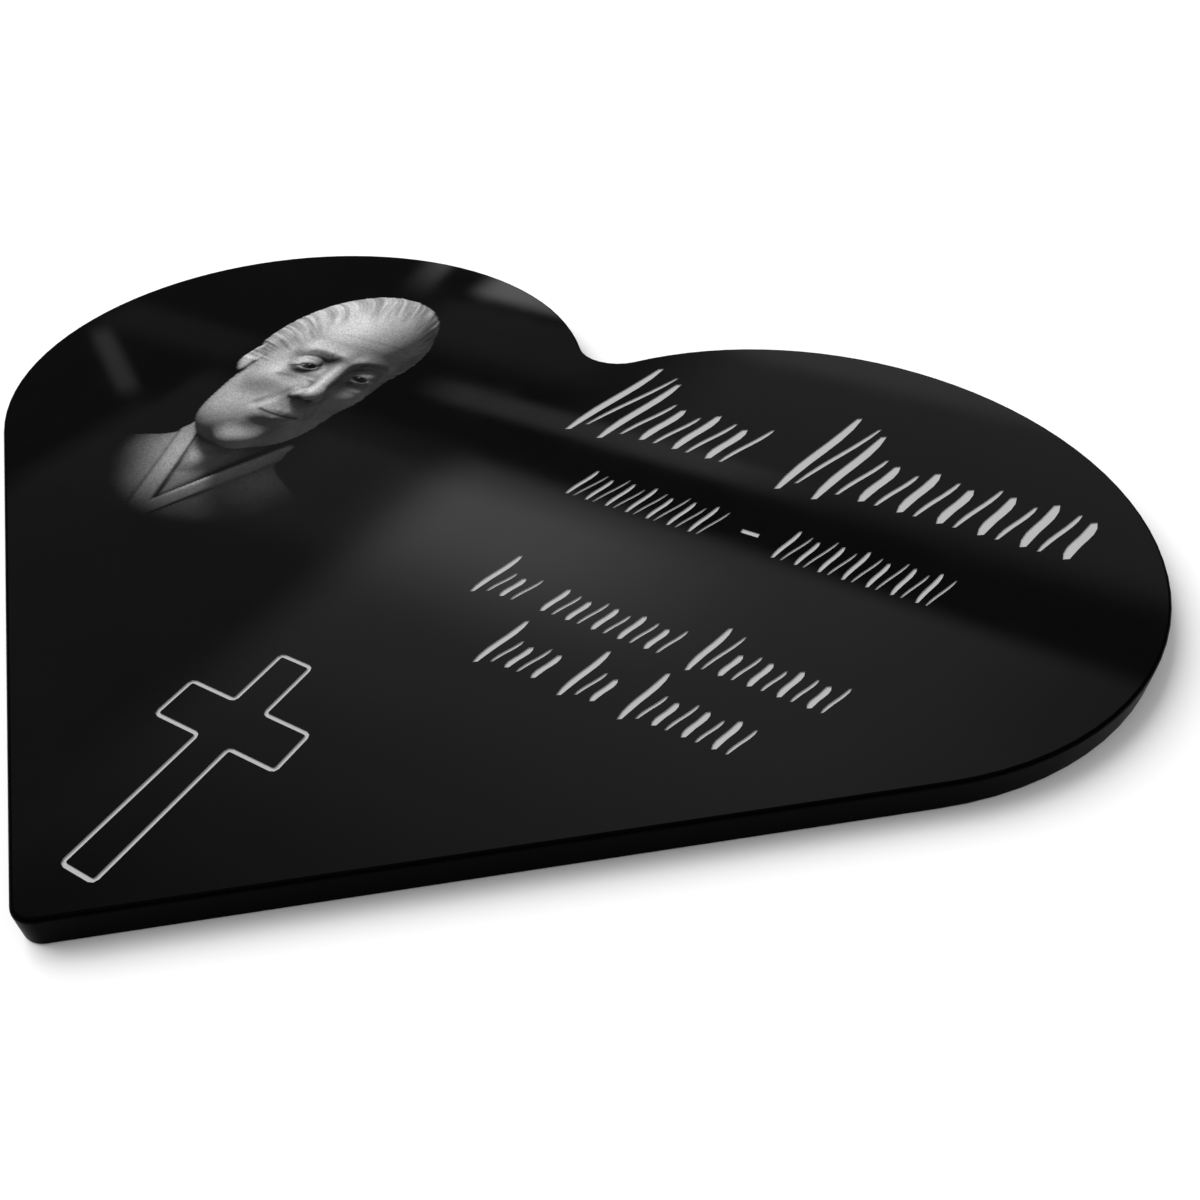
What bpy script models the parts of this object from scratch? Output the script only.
# Heart-shaped memorial plaque of black acrylic sheet, lying on its back.
# A cross is engraved above the tip and rows of pen strokes in the right lobe.
# Metres, +Z up. The origin is below the middle of the outline, on the back face,
# and the tip of the heart points towards -Y.

import math
from typing import NamedTuple

import bmesh
import bpy

# Sheet and outline
PLAQUE_WIDTH = 0.220
SHEET_THICKNESS = 0.005
LOBE_RADIUS = 0.0578
TIP_ANGLE = math.radians(102.8)
TIP_RADIUS = 0.0034
NOTCH_RADIUS = 0.0078
FRONT_EDGE_ROUND = 0.0006
BACK_EDGE_ROUND = 0.0003

# Engraving
ENGRAVING_DEPTH = 0.00015
STROKE_LEAN = math.radians(12.0)
HAIRLINE_LEAN = math.radians(19.0)
HAIRLINE_SHARE = 0.6
NIB_ANGLE = math.radians(35.0)

# Cross, drawn as one line round its outline
CROSS_HEIGHT = 0.0399
CROSS_SPAN = 0.0209
CROSS_STEM_WIDTH = 0.0054
CROSS_BAR_WIDTH = 0.0070
CROSS_HEAD = 0.0100
CROSS_LINE = 0.0006
CROSS_CORNER_RADIUS = 0.0006
CROSS_ABOVE_TIP = 0.0077
CROSS_TO_RIGHT = 0.0015

# Large row, which keeps a margin to the edge of the lobe
LARGE_ROW_MARGIN = 0.0080
LARGE_ROW_RISE = 0.0087
LARGE_LOW_HEIGHT = 0.0143
LARGE_TALL_HEIGHT = 0.0258
LARGE_LINE = 0.0021
LARGE_WORD_GAP = 0.0115

# Middle row: two groups of even strokes with a dash between them
MIDDLE_ROW_DROP = 0.0127
MIDDLE_ROW_TO_LEFT = 0.0042
MIDDLE_HEIGHT = 0.0086
MIDDLE_LINE = 0.0010
MIDDLE_PITCH = 0.0019
MIDDLE_WORD_GAP = 0.0125
DASH_LENGTH = 0.0030

# Two small rows
SMALL_ROW_DROP = 0.0410
SMALL_ROW_SPACING = 0.0128
SMALL_ROW_TO_LEFT = 0.0082
SMALL_LOW_HEIGHT = 0.0062
SMALL_TALL_HEIGHT = 0.0098
SMALL_LINE = 0.0013
SMALL_PITCH = 0.00215
SMALL_WORD_GAP = 0.0050

# How finely curves are drawn
ARC_STEP = math.radians(4.0)
FILLET_STEPS = 8
CORNER_STEPS = 2
EDGE_SEGMENTS = 4
STROKE_STATIONS = 7


class Word(NamedTuple):
    """A group of strokes, of which the first few are tall."""

    strokes: int
    tall: int


class Row(NamedTuple):
    """A line of words, given by its middle, its foot and its stroke sizes."""

    middle: float
    foot: float
    low: float
    height: float
    line: float
    pitch: float
    gap: float
    words: tuple


def arc(centre, radius, start, end, steps):
    """Points on an arc about a centre, from one angle to another."""
    return [
        (
            centre[0] + radius * math.cos(start + (end - start) * i / steps),
            centre[1] + radius * math.sin(start + (end - start) * i / steps),
        )
        for i in range(steps + 1)
    ]


def lobe_centre():
    """Centre of the right lobe, with the sharp corner of the tip at the origin."""
    side = math.pi / 2 - TIP_ANGLE / 2
    x = PLAQUE_WIDTH / 2 - LOBE_RADIUS
    return x, (LOBE_RADIUS + x * math.sin(side)) / math.cos(side)


def tip_foot():
    """Height of the rounded tip's lowest point above the sharp corner."""
    return TIP_RADIUS / math.sin(TIP_ANGLE / 2) - TIP_RADIUS


def middle_height():
    """Height of the middle of the outline above the sharp corner of the tip."""
    return (lobe_centre()[1] + LOBE_RADIUS + tip_foot()) / 2


def heart_outline():
    """Outline of the heart, anticlockwise from the tip, about the middle of its box."""
    side = math.pi / 2 - TIP_ANGLE / 2
    lobe = lobe_centre()
    tip = (0.0, TIP_RADIUS + tip_foot())
    reach = LOBE_RADIUS + NOTCH_RADIUS
    notch = (0.0, lobe[1] + math.sqrt(reach**2 - lobe[0] ** 2))
    turn = math.atan2(notch[1] - lobe[1], -lobe[0])
    tip_steps = FILLET_STEPS // 2
    lobe_steps = math.ceil((turn - side + math.pi / 2) / ARC_STEP)
    right = arc(tip, TIP_RADIUS, -math.pi / 2, side - math.pi / 2, tip_steps)
    right += arc(lobe, LOBE_RADIUS, side - math.pi / 2, turn, lobe_steps)
    right += arc(notch, NOTCH_RADIUS, turn - math.pi, -math.pi / 2, FILLET_STEPS // 2)[1:]
    left = [(-x, y) for x, y in reversed(right[1:-1])]
    return [(x, y - middle_height()) for x, y in right + left]


def cross_outline(grow):
    """Outline of the cross, anticlockwise, grown from the middle of its line."""
    foot = tip_foot() - middle_height() + CROSS_ABOVE_TIP
    head = foot + CROSS_HEIGHT
    bar_top = head - CROSS_HEAD
    stem = CROSS_STEM_WIDTH / 2 + grow
    arm = CROSS_SPAN / 2 + grow
    corners = [
        (stem, foot - grow),
        (stem, bar_top - CROSS_BAR_WIDTH - grow),
        (arm, bar_top - CROSS_BAR_WIDTH - grow),
        (arm, bar_top + grow),
        (stem, bar_top + grow),
        (stem, head + grow),
    ]
    corners += [(-x, y) for x, y in reversed(corners)]
    return [(x + CROSS_TO_RIGHT, y) for x, y in rounded(corners, CROSS_CORNER_RADIUS, grow)]


def rounded(corners, radius, grow):
    """Round the right-angled corners of an outline that was grown by an offset."""
    points = []
    for i, (x, y) in enumerate(corners):
        before = corners[i - 1]
        after = corners[(i + 1) % len(corners)]
        start = math.atan2(y - before[1], x - before[0])
        end = math.atan2(after[1] - y, after[0] - x)
        turn = math.remainder(end - start, math.tau)
        bend = math.copysign(1.0, turn)
        reach = radius + bend * grow
        centre = (
            x - reach * math.cos(start) + reach * math.cos(end),
            y - reach * math.sin(start) + reach * math.sin(end),
        )
        first = start - bend * math.pi / 2
        points += arc(centre, reach, first, first + turn, CORNER_STEPS)
    return points


def pen_stroke(x, y, height, width, lean):
    """Outline of a broad pen's stroke: slanted ends, an even body and a slight sway."""
    right = []
    left = []
    for i in range(STROKE_STATIONS):
        s = i / (STROKE_STATIONS - 1)
        sway = 0.12 * width * math.sin(math.tau * s)
        half = width / 2 * (0.45 + 0.55 * max(0.0, math.sin(math.pi * s)) ** 0.6)
        middle = x + s * height * math.tan(lean) - sway
        rise = half * math.tan(NIB_ANGLE)
        right.append((middle + half, y + s * height + rise))
        left.append((middle - half, y + s * height - rise))
    return right + left[::-1]


def row_strokes(row):
    """Outlines of the strokes of a row, word by word."""
    spaces = sum(word.strokes - 1 for word in row.words)
    length = spaces * row.pitch + (len(row.words) - 1) * row.gap
    x = row.middle - length / 2 - row.low * math.tan(STROKE_LEAN) / 2
    outlines = []
    for word in row.words:
        for i in range(word.strokes):
            tall = i < word.tall
            size = row.height if tall else row.low
            height = size * (1.0 - 0.08 * (i % 3))
            hairline = i % 2 == 1
            width = row.line * (HAIRLINE_SHARE if hairline else 1.0)
            lean = HAIRLINE_LEAN if hairline else STROKE_LEAN
            drop = 0.12 * row.height if tall and not hairline else 0.0
            shift = drop * math.tan(lean)
            shift += height / 2 * (math.tan(lean) - math.tan(STROKE_LEAN))
            outlines.append(
                pen_stroke(x - shift, row.foot - drop, height + drop, width, lean)
            )
            x += row.pitch
        x += row.gap - row.pitch
    return outlines


def inscription():
    """Outlines of all the strokes, set out from the middle of the right lobe."""
    x, y = lobe_centre()
    y -= middle_height()
    words = (Word(10, 3), Word(15, 3))
    chord = math.sqrt(LOBE_RADIUS**2 - (LARGE_ROW_RISE + LARGE_LOW_HEIGHT) ** 2)
    length = 2 * (chord - LARGE_ROW_MARGIN) - LARGE_LOW_HEIGHT * math.tan(STROKE_LEAN)
    spaces = sum(word.strokes - 1 for word in words)
    pitch = (length - LARGE_WORD_GAP) / spaces
    rows = [
        Row(x, y + LARGE_ROW_RISE, LARGE_LOW_HEIGHT, LARGE_TALL_HEIGHT,
            LARGE_LINE, pitch, LARGE_WORD_GAP, words),
        Row(x - MIDDLE_ROW_TO_LEFT, y - MIDDLE_ROW_DROP, MIDDLE_HEIGHT, MIDDLE_HEIGHT,
            MIDDLE_LINE, MIDDLE_PITCH, MIDDLE_WORD_GAP, (Word(14, 0), Word(14, 0))),
    ]
    for i, words in enumerate([(Word(4, 1), Word(10, 0), Word(10, 2)),
                               (Word(5, 1), Word(3, 1), Word(8, 1))]):
        rows.append(
            Row(x - SMALL_ROW_TO_LEFT, y - SMALL_ROW_DROP - i * SMALL_ROW_SPACING,
                SMALL_LOW_HEIGHT, SMALL_TALL_HEIGHT, SMALL_LINE, SMALL_PITCH,
                SMALL_WORD_GAP, words)
        )
    dash_x = x - MIDDLE_ROW_TO_LEFT - DASH_LENGTH / 2
    dash_y = y - MIDDLE_ROW_DROP + MIDDLE_HEIGHT / 2 - MIDDLE_LINE / 2
    dash = [
        (dash_x, dash_y),
        (dash_x + DASH_LENGTH, dash_y),
        (dash_x + DASH_LENGTH, dash_y + MIDDLE_LINE),
        (dash_x, dash_y + MIDDLE_LINE),
    ]
    return [outline for row in rows for outline in row_strokes(row)] + [dash]


def extrude_faces(mesh, faces, height):
    """Draw flat faces up into closed solids with their faces pointing out."""
    grown = bmesh.ops.extrude_face_region(mesh, geom=faces, use_keep_orig=True)
    top = [item for item in grown["geom"] if isinstance(item, bmesh.types.BMVert)]
    bmesh.ops.translate(mesh, verts=top, vec=(0.0, 0.0, height))
    bmesh.ops.recalc_face_normals(mesh, faces=mesh.faces)


def flat_face(mesh, outline, z):
    """Fill an outline with one flat face."""
    return mesh.faces.new([mesh.verts.new((x, y, z)) for x, y in outline])


def acrylic_material():
    """Black cast acrylic with a polished face."""
    material = bpy.data.materials.new("black_acrylic")
    material.use_nodes = True
    shader = material.node_tree.nodes["Principled BSDF"]
    shader.inputs["Base Color"].default_value = (0.004, 0.004, 0.0045, 1.0)
    shader.inputs["Roughness"].default_value = 0.08
    shader.inputs["Metallic"].default_value = 0.0
    return material


def engraving_material():
    """Acrylic that engraving has left matt and pale grey."""
    material = bpy.data.materials.new("engraved_acrylic")
    material.use_nodes = True
    shader = material.node_tree.nodes["Principled BSDF"]
    shader.inputs["Base Color"].default_value = (0.48, 0.48, 0.48, 1.0)
    shader.inputs["Roughness"].default_value = 0.75
    shader.inputs["Metallic"].default_value = 0.0
    return material


def add_object(name, mesh, materials):
    """Put a finished bmesh into the scene as an object with its materials."""
    data = bpy.data.meshes.new(name)
    mesh.to_mesh(data)
    mesh.free()
    for material in materials:
        data.materials.append(material)
    thing = bpy.data.objects.new(name, data)
    bpy.context.scene.collection.objects.link(thing)
    return thing


def make_sheet(materials):
    """The heart cut from sheet, with its front and back edges rounded."""
    mesh = bmesh.new()
    extrude_faces(mesh, [flat_face(mesh, heart_outline(), 0.0)], SHEET_THICKNESS)
    for z, radius, segments in (
        (SHEET_THICKNESS, FRONT_EDGE_ROUND, EDGE_SEGMENTS),
        (0.0, BACK_EDGE_ROUND, EDGE_SEGMENTS // 2),
    ):
        rim = [edge for edge in mesh.edges if all(abs(v.co.z - z) < 1e-6 for v in edge.verts)]
        bmesh.ops.bevel(
            mesh, geom=rim, offset=radius, offset_type="OFFSET", segments=segments,
            profile=0.5, affect="EDGES", material=-1,
        )
    return add_object("plaque", mesh, materials)


def make_cutter(materials):
    """The engraver's tool path: a ring for the cross and a prism for each stroke."""
    mesh = bmesh.new()
    floor = SHEET_THICKNESS - ENGRAVING_DEPTH
    loops = []
    for grow in (CROSS_LINE / 2, -CROSS_LINE / 2):
        loops.append([mesh.verts.new((x, y, floor)) for x, y in cross_outline(grow)])
    outer, inner = loops
    faces = []
    for i in range(len(outer)):
        j = (i + 1) % len(outer)
        faces.append(mesh.faces.new((outer[i], outer[j], inner[j], inner[i])))
    faces += [flat_face(mesh, outline, floor) for outline in inscription()]
    extrude_faces(mesh, faces, 2 * ENGRAVING_DEPTH)
    for face in mesh.faces:
        face.material_index = 1
    cutter = add_object("engraving_cutter", mesh, materials)
    cutter.hide_render = True
    cutter.display_type = "WIRE"
    return cutter


def main():
    """Build the plaque in an empty scene."""
    for thing in list(bpy.data.objects):
        bpy.data.objects.remove(thing)
    materials = [acrylic_material(), engraving_material()]
    plaque = make_sheet(materials)
    cutter = make_cutter(materials)
    engraving = plaque.modifiers.new("engraving", "BOOLEAN")
    engraving.operation = "DIFFERENCE"
    engraving.solver = "EXACT"
    engraving.object = cutter
    plaque.data.shade_smooth()
    plaque.data.set_sharp_from_angle(angle=math.radians(30.0))


main()
